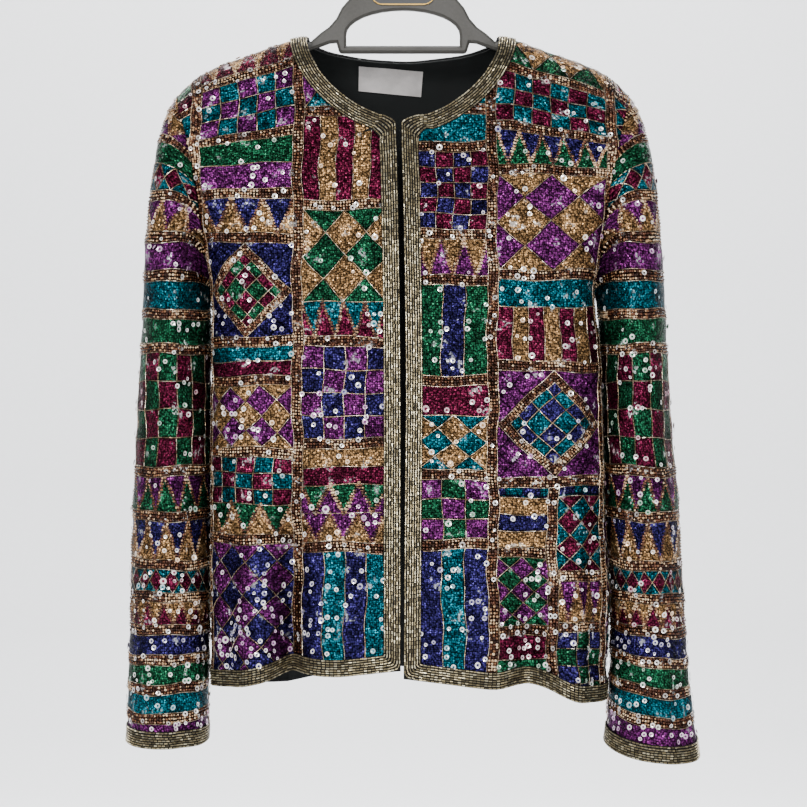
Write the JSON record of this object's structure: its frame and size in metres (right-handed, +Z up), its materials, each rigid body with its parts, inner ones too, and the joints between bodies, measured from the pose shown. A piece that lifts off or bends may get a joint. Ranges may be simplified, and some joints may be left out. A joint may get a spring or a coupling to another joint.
{
  "type": "evening jacket on a hanger",
  "caption": "Collarless evening jacket with long set-in sleeves, patchwork beading and bugle-bead edge trim, hung open-fronted on a flat hanger with a hook.",
  "frame": {"origin": "inside top of the hanger's hook, where a rail carries it", "axes": "+Z up, the jacket's front faces -Y, the wearer's left is at +X"},
  "size_m": [0.5124, 0.1856, 0.7799],
  "materials": {
    "back": "beaded and sequinned cloth, satin",
    "front_right": "beaded and sequinned cloth, satin",
    "front_left": "beaded and sequinned cloth, satin",
    "sleeve_right": "beaded and sequinned cloth, satin",
    "sleeve_left": "beaded and sequinned cloth, satin",
    "trim_front_right": "rows of bugle beads on black cloth",
    "trim_front_left": "rows of bugle beads on black cloth",
    "trim_back_neck": "rows of bugle beads on black cloth",
    "trim_back_hem": "rows of bugle beads on black cloth",
    "trim_cuff_right": "rows of bugle beads on black cloth",
    "trim_cuff_left": "rows of bugle beads on black cloth",
    "lining_back": "smooth near-black lining",
    "label": "bare woven satin",
    "hanger": "matt grey board",
    "hanger_badge": "bare dark plate with a brass rim",
    "hanger_hook": "bent bright wire"
  },
  "bodies": {
    "root": {"back": "back", "front_right": "front_right", "front_left": "front_left", "sleeve_right": "sleeve_right", "sleeve_left": "sleeve_left", "trim_front_right": "trim_front_right", "trim_front_left": "trim_front_left", "trim_back_neck": "trim_back_neck", "trim_back_hem": "trim_back_hem", "trim_cuff_right": "trim_cuff_right", "trim_cuff_left": "trim_cuff_left", "lining_back": "lining_back", "label": "label", "hanger": "hanger", "hanger_badge": "hanger_badge", "hanger_hook": "hanger_hook"}
  },
  "joints": []
}
